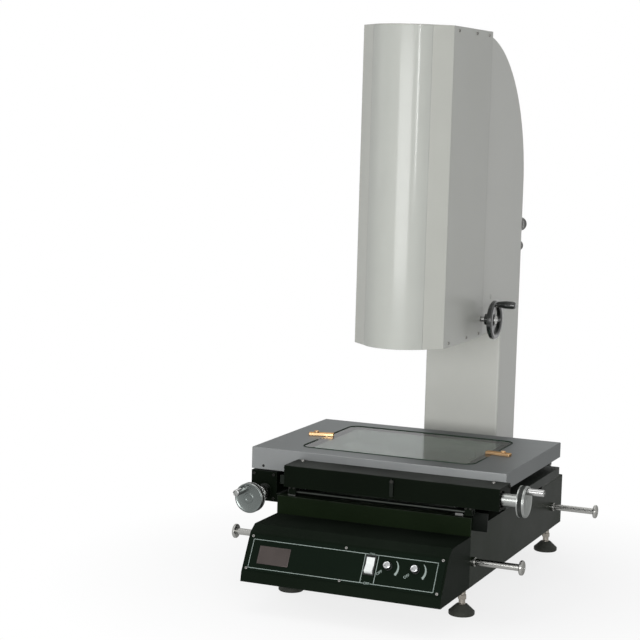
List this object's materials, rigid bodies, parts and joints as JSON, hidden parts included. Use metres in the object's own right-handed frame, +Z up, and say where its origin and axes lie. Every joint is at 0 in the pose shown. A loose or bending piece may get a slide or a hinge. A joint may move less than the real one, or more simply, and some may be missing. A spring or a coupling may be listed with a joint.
{
  "type": "video coordinate measuring machine",
  "caption": "Manual bench video measuring machine: black base with sloping console, cross stage with glass plate and handwheels, and a column-mounted optical head with a Z handwheel.",
  "frame": {"origin": "on the bench, in the middle of the machine's overall plan", "axes": "+Z up, -Y towards the operator, +X to the operator's right"},
  "size_m": [0.619, 0.7958, 1.063],
  "materials": {
    "base_paint": "satin enamel",
    "console_paint": "satin enamel",
    "panel_face": "matt with printed white lines",
    "small_screws": "bright zinc plate",
    "foot_rubber": "matt",
    "plated_steel": "zinc plate",
    "chromed_bar": "polished",
    "lamp_tray": "matt",
    "lamp_diffuser": "opal",
    "ground_steel": "ground",
    "block_steel": "machined",
    "drive_cover": "satin black",
    "scale_body": "black anodised",
    "column_paint": "fine hammered enamel",
    "head_paint": "fine textured enamel",
    "head_front_paint": "fine textured enamel",
    "frame_paint": "matt black",
    "slide_plate": "anodised",
    "stage_metal": "hard anodised grey",
    "carriage_metal": "hard anodised grey",
    "stage_glass": "ground and polished",
    "brass": "satin",
    "handwheel_metal": "satin chrome",
    "z_wheel_black": "moulded",
    "optics_black": "black anodised",
    "switch_white": "lit",
    "knob_black": "fine ribbed",
    "lever_metal": "satin",
    "socket_metal": "nickel plate"
  },
  "bodies": {
    "machine": {"base_casting": "base_paint", "console_cover": "console_paint", "control_panel": "panel_face", "panel_screws": "small_screws", "foot_pads": "foot_rubber", "foot_lock_nuts": "plated_steel", "carrying_bars": "chromed_bar", "backlight_housing": "lamp_tray", "backlight_diffuser": "lamp_diffuser", "y_rails": "ground_steel", "y_drive_housing": "drive_cover", "y_scale": "scale_body", "column": "column_paint", "head_side_cover": "head_paint", "head_front_cover": "head_front_paint", "head_frame": "frame_paint", "cover_screws": "small_screws", "z_base_plate": "slide_plate", "z_rails": "ground_steel", "rear_sockets": "socket_metal"},
    "y_carriage": {"y_carriage_plate": "carriage_metal", "guide_blocks": "block_steel", "x_drive_housing": "drive_cover", "x_stop_rod": "chromed_bar", "x_scale": "scale_body", "y_scale_head": "scale_body", "y_drive_nut": "block_steel"},
    "x_stage": {"stage_plate": "stage_metal", "stage_glass": "stage_glass", "x_rails": "ground_steel", "x_drive_nut": "block_steel", "x_scale_head": "scale_body", "clip_screws": "small_screws"},
    "glass_clip_left": {"glass_clip_left": "brass"},
    "glass_clip_right": {"glass_clip_right": "brass"},
    "x_handwheel": {"x_handwheel": "handwheel_metal", "x_drive_rod": "ground_steel"},
    "x_crank_grip": {"x_crank_grip": "handwheel_metal"},
    "y_handwheel": {"y_handwheel": "handwheel_metal", "y_drive_rod": "ground_steel"},
    "y_crank_grip": {"y_crank_grip": "handwheel_metal"},
    "z_carriage": {"z_carriage_plate": "slide_plate", "z_guide_blocks": "block_steel", "z_rack": "ground_steel", "lens_bracket": "slide_plate", "zoom_lens": "optics_black", "camera": "optics_black", "ring_light": "optics_black"},
    "z_handwheel": {"z_handwheel": "z_wheel_black", "z_pinion_shaft": "ground_steel"},
    "z_crank_grip": {"z_crank_grip": "z_wheel_black"},
    "zoom_ring": {"zoom_ring": "optics_black"},
    "power_switch": {"power_switch": "switch_white"},
    "light_knob_1": {"light_knob_1": "knob_black"},
    "light_knob_2": {"light_knob_2": "knob_black"},
    "x_release_lever": {"x_release_lever": "lever_metal"},
    "foot_stud_1": {"foot_stud_1": "plated_steel"},
    "foot_stud_2": {"foot_stud_2": "plated_steel"},
    "foot_stud_3": {"foot_stud_3": "plated_steel"},
    "foot_stud_4": {"foot_stud_4": "plated_steel"}
  },
  "joints": [
    {"name": "y_slide", "type": "slide", "parent": "machine", "child": "y_carriage", "axis": [0, 1, 0], "range_m": [-0.1, 0.1]},
    {"name": "x_slide", "type": "slide", "parent": "y_carriage", "child": "x_stage", "axis": [1, 0, 0], "range_m": [-0.15, 0.15]},
    {"name": "z_slide", "type": "slide", "parent": "machine", "child": "z_carriage", "axis": [0, 0, 1], "range_m": [-0.125, 0.025]},
    {"name": "y_wheel_turn", "type": "hinge", "parent": "machine", "child": "y_handwheel", "pos_m": [-0.246, -0.292, 0.188], "axis": [0, 1, 0], "range_deg": [-1800, 1800]},
    {"name": "x_wheel_turn", "type": "hinge", "parent": "y_carriage", "child": "x_handwheel", "pos_m": [0.266, -0.279, 0.235], "axis": [1, 0, 0], "range_deg": [-2700, 2700]},
    {"name": "z_wheel_turn", "type": "hinge", "parent": "machine", "child": "z_handwheel", "pos_m": [0.086, 0.087, 0.506], "axis": [1, 0, 0], "range_deg": [-119.5, 597]},
    {"name": "x_grip_spin", "type": "hinge", "parent": "x_handwheel", "child": "x_crank_grip", "pos_m": [0.279, -0.279, 0.2535], "axis": [1, 0, 0], "continuous": true},
    {"name": "y_grip_spin", "type": "hinge", "parent": "y_handwheel", "child": "y_crank_grip", "pos_m": [-0.25838, -0.305, 0.20175], "axis": [0, 1, 0], "continuous": true},
    {"name": "z_grip_spin", "type": "hinge", "parent": "z_handwheel", "child": "z_crank_grip", "pos_m": [0.097, 0.087, 0.537], "axis": [1, 0, 0], "continuous": true},
    {"name": "left_clip_turn", "type": "hinge", "parent": "x_stage", "child": "glass_clip_left", "pos_m": [-0.216, -0.063, 0.271], "axis": [0, 0, 1], "range_deg": [-90, 90]},
    {"name": "right_clip_turn", "type": "hinge", "parent": "x_stage", "child": "glass_clip_right", "pos_m": [0.168, -0.071, 0.271], "axis": [0, 0, 1], "range_deg": [-90, 90]},
    {"name": "zoom_turn", "type": "hinge", "parent": "z_carriage", "child": "zoom_ring", "pos_m": [-0.024, -0.057, 0.542], "axis": [0, 0, 1], "range_deg": [0, 180]},
    {"name": "power_rocker", "type": "hinge", "parent": "machine", "child": "power_switch", "pos_m": [0.026, -0.37153, 0.10971], "axis": [1, 0, 0], "range_deg": [0, 14]},
    {"name": "knob_1_turn", "type": "hinge", "parent": "machine", "child": "light_knob_1", "pos_m": [0.0605, -0.37496, 0.11386], "axis": [0, -0.8779, 0.4789], "range_deg": [-150, 150]},
    {"name": "knob_2_turn", "type": "hinge", "parent": "machine", "child": "light_knob_2", "pos_m": [0.1115, -0.37496, 0.11386], "axis": [0, -0.8779, 0.4789], "range_deg": [-150, 150]},
    {"name": "x_release_turn", "type": "hinge", "parent": "y_carriage", "child": "x_release_lever", "pos_m": [0.033, -0.297, 0.248], "axis": [0, 1, 0], "range_deg": [0, 60]},
    {"name": "foot_1_turn", "type": "hinge", "parent": "machine", "child": "foot_stud_1", "pos_m": [-0.194, -0.217, 0.057], "axis": [0, 0, 1], "range_deg": [-720, 720]},
    {"name": "foot_2_turn", "type": "hinge", "parent": "machine", "child": "foot_stud_2", "pos_m": [0.146, -0.217, 0.057], "axis": [0, 0, 1], "range_deg": [-720, 720]},
    {"name": "foot_3_turn", "type": "hinge", "parent": "machine", "child": "foot_stud_3", "pos_m": [-0.194, 0.3285, 0.057], "axis": [0, 0, 1], "range_deg": [-720, 720]},
    {"name": "foot_4_turn", "type": "hinge", "parent": "machine", "child": "foot_stud_4", "pos_m": [0.146, 0.3285, 0.057], "axis": [0, 0, 1], "range_deg": [-720, 720]}
  ],
  "couplings": [
    {"joint": "y_wheel_turn", "follows": "y_slide", "rad_per_m": 314.16},
    {"joint": "x_wheel_turn", "follows": "x_slide", "rad_per_m": 314.16},
    {"joint": "z_wheel_turn", "follows": "z_slide", "rad_per_m": -83.333}
  ]
}
